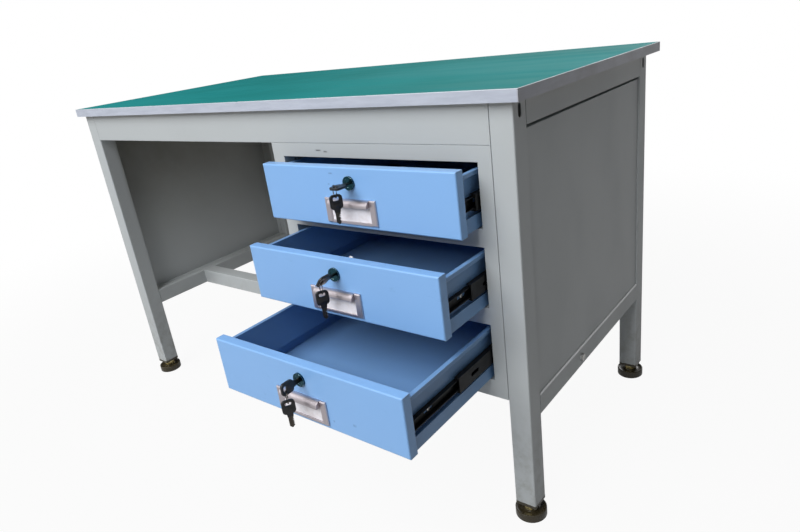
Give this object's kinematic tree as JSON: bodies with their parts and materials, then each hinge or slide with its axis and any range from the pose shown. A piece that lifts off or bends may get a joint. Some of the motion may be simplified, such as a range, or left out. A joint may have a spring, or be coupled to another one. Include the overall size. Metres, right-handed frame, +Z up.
{
  "type": "workbench with drawer cabinet",
  "caption": "Steel workbench with a matted top, open knee space and a cabinet of locking drawers on telescopic runners, on levelling feet.",
  "frame": {"origin": "on the floor, under the middle of the top", "axes": "+X to the right along the top, +Y to the back, +Z up; the drawers open towards -Y"},
  "size_m": [1.2, 0.8591, 0.736],
  "materials": {
    "grey_paint": "light grey powder coat, satin",
    "blue_paint": "light blue powder coat, satin",
    "mat": "green-blue bench mat, dull satin",
    "board": "pressed wood board",
    "edging": "light grey edge band",
    "runner_steel": "black runner steel",
    "zinc": "zinc plated steel",
    "chrome": "bright chrome",
    "lock_chrome": "dark blue-green chrome",
    "black_plastic": "black moulded plastic",
    "key_plastic": "black moulded key",
    "card": "blank white card"
  },
  "bodies": {
    "bench": {"worktop_board": "board", "worktop_mat": "mat", "top_edging": "edging", "front_left_leg": "grey_paint", "front_right_leg": "grey_paint", "back_left_leg": "grey_paint", "back_right_leg": "grey_paint", "front_apron": "grey_paint", "back_apron": "grey_paint", "left_top_rail": "grey_paint", "right_top_rail": "grey_paint", "left_lower_rail": "grey_paint", "right_lower_rail": "grey_paint", "cross_rail": "grey_paint", "left_side_panel": "grey_paint", "right_side_panel": "grey_paint", "cabinet_wrap": "grey_paint", "cabinet_floor": "grey_paint", "face_frame": "grey_paint", "runner_posts": "grey_paint", "cabinet_runners": "runner_steel", "foot_inserts": "black_plastic", "frame_fasteners": "zinc"},
    "front_left_foot_body": {"front_left_foot": "black_plastic"},
    "front_right_foot_body": {"front_right_foot": "black_plastic"},
    "back_left_foot_body": {"back_left_foot": "black_plastic"},
    "back_right_foot_body": {"back_right_foot": "black_plastic"},
    "top_drawer": {"top_drawer_box": "blue_paint", "top_drawer_front": "blue_paint", "top_label_pull": "chrome", "top_label_card": "card", "top_lock_housing": "lock_chrome", "top_drawer_runners": "runner_steel"},
    "top_extension": {"top_extension_runners": "runner_steel"},
    "top_lock": {"top_lock_plug": "lock_chrome", "top_key": "key_plastic"},
    "top_ring": {"top_key_ring": "chrome"},
    "top_spare": {"top_spare_key": "key_plastic"},
    "middle_drawer": {"middle_drawer_box": "blue_paint", "middle_drawer_front": "blue_paint", "middle_label_pull": "chrome", "middle_label_card": "card", "middle_lock_housing": "lock_chrome", "middle_drawer_runners": "runner_steel"},
    "middle_extension": {"middle_extension_runners": "runner_steel"},
    "middle_lock": {"middle_lock_plug": "lock_chrome", "middle_key": "key_plastic"},
    "middle_ring": {"middle_key_ring": "chrome"},
    "middle_spare": {"middle_spare_key": "key_plastic"},
    "bottom_drawer": {"bottom_drawer_box": "blue_paint", "bottom_drawer_front": "blue_paint", "bottom_label_pull": "chrome", "bottom_label_card": "card", "bottom_lock_housing": "lock_chrome", "bottom_drawer_runners": "runner_steel"},
    "bottom_extension": {"bottom_extension_runners": "runner_steel"},
    "bottom_lock": {"bottom_lock_plug": "lock_chrome", "bottom_key": "key_plastic"},
    "bottom_ring": {"bottom_key_ring": "chrome"},
    "bottom_spare": {"bottom_spare_key": "key_plastic"}
  },
  "joints": [
    {"name": "front_left_foot_screw", "type": "slide", "parent": "bench", "child": "front_left_foot_body", "axis": [0, 0, -1], "range_m": [-0.0015, 0.015]},
    {"name": "front_right_foot_screw", "type": "slide", "parent": "bench", "child": "front_right_foot_body", "axis": [0, 0, -1], "range_m": [-0.0015, 0.015]},
    {"name": "back_left_foot_screw", "type": "slide", "parent": "bench", "child": "back_left_foot_body", "axis": [0, 0, -1], "range_m": [-0.0015, 0.015]},
    {"name": "back_right_foot_screw", "type": "slide", "parent": "bench", "child": "back_right_foot_body", "axis": [0, 0, -1], "range_m": [-0.0015, 0.015]},
    {"name": "top_drawer_slide", "type": "slide", "parent": "bench", "child": "top_drawer", "axis": [0, -1, 0], "range_m": [-0.055, 0.345]},
    {"name": "top_extension_slide", "type": "slide", "parent": "bench", "child": "top_extension", "axis": [0, -1, 0], "range_m": [-0.0275, 0.1725]},
    {"name": "top_lock_turn", "type": "hinge", "parent": "top_drawer", "child": "top_lock", "pos_m": [0.3195, -0.343, 0.6087], "axis": [0, -1, 0], "range_deg": [-90, 90]},
    {"name": "top_ring_swing", "type": "hinge", "parent": "top_lock", "child": "top_ring", "pos_m": [0.31175, -0.37036, 0.61238], "axis": [0.866, -0.5, 0], "range_deg": [-11, 5]},
    {"name": "top_spare_swing", "type": "hinge", "parent": "top_ring", "child": "top_spare", "pos_m": [0.31175, -0.37036, 0.59218], "axis": [0.866, -0.5, 0], "range_deg": [-24, 6]},
    {"name": "middle_drawer_slide", "type": "slide", "parent": "bench", "child": "middle_drawer", "axis": [0, -1, 0], "range_m": [-0.12, 0.28]},
    {"name": "middle_extension_slide", "type": "slide", "parent": "bench", "child": "middle_extension", "axis": [0, -1, 0], "range_m": [-0.06, 0.14]},
    {"name": "middle_lock_turn", "type": "hinge", "parent": "middle_drawer", "child": "middle_lock", "pos_m": [0.3195, -0.408, 0.4782], "axis": [0, -1, 0], "range_deg": [-142, 38]},
    {"name": "middle_ring_swing", "type": "hinge", "parent": "middle_lock", "child": "middle_ring", "pos_m": [0.31485, -0.43767, 0.47659], "axis": [0.866, -0.5, 0], "range_deg": [-11, 5]},
    {"name": "middle_spare_swing", "type": "hinge", "parent": "middle_ring", "child": "middle_spare", "pos_m": [0.31485, -0.43767, 0.45639], "axis": [0.866, -0.5, 0], "range_deg": [-24, 6]},
    {"name": "bottom_drawer_slide", "type": "slide", "parent": "bench", "child": "bottom_drawer", "axis": [0, -1, 0], "range_m": [-0.23, 0.17]},
    {"name": "bottom_extension_slide", "type": "slide", "parent": "bench", "child": "bottom_extension", "axis": [0, -1, 0], "range_m": [-0.115, 0.085]},
    {"name": "bottom_lock_turn", "type": "hinge", "parent": "bottom_drawer", "child": "bottom_lock", "pos_m": [0.3195, -0.518, 0.3477], "axis": [0, -1, 0], "range_deg": [0, 180]},
    {"name": "bottom_ring_swing", "type": "hinge", "parent": "bottom_lock", "child": "bottom_ring", "pos_m": [0.3195, -0.549, 0.3441], "axis": [0.866, -0.5, 0], "range_deg": [-11, 5]},
    {"name": "bottom_spare_swing", "type": "hinge", "parent": "bottom_ring", "child": "bottom_spare", "pos_m": [0.3195, -0.549, 0.3239], "axis": [0.866, -0.5, 0], "range_deg": [-24, 6]}
  ],
  "couplings": [
    {"joint": "top_extension_slide", "follows": "top_drawer_slide", "ratio": 0.5},
    {"joint": "middle_extension_slide", "follows": "middle_drawer_slide", "ratio": 0.5},
    {"joint": "bottom_extension_slide", "follows": "bottom_drawer_slide", "ratio": 0.5}
  ]
}
